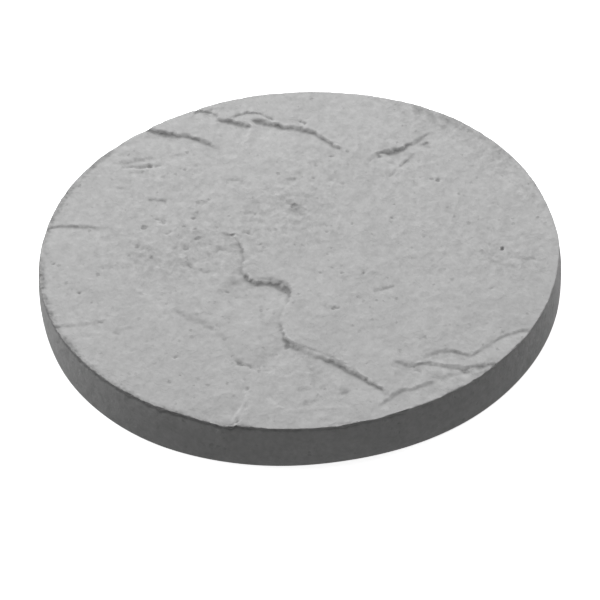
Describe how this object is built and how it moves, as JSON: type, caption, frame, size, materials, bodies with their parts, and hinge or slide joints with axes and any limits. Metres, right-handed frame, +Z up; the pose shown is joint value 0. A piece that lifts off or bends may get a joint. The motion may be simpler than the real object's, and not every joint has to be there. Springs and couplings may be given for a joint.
{
  "type": "garden stepping stone",
  "caption": "Round cast concrete stepping stone with a riven, slate-like tread, a plain, faintly bulged side and a flat bed, laid on the ground as a step in a garden path.",
  "frame": {"origin": "centre of the bed face, on the ground", "axes": "+Z up out of the tread, -Y towards the side that faces the viewer in the picture, +X to the right of it"},
  "size_m": [0.406, 0.406, 0.038],
  "materials": {
    "concrete": "dry cast concrete, matt, fine sandy grain"
  },
  "bodies": {
    "root": {"stepping_stone": "concrete"}
  },
  "joints": []
}
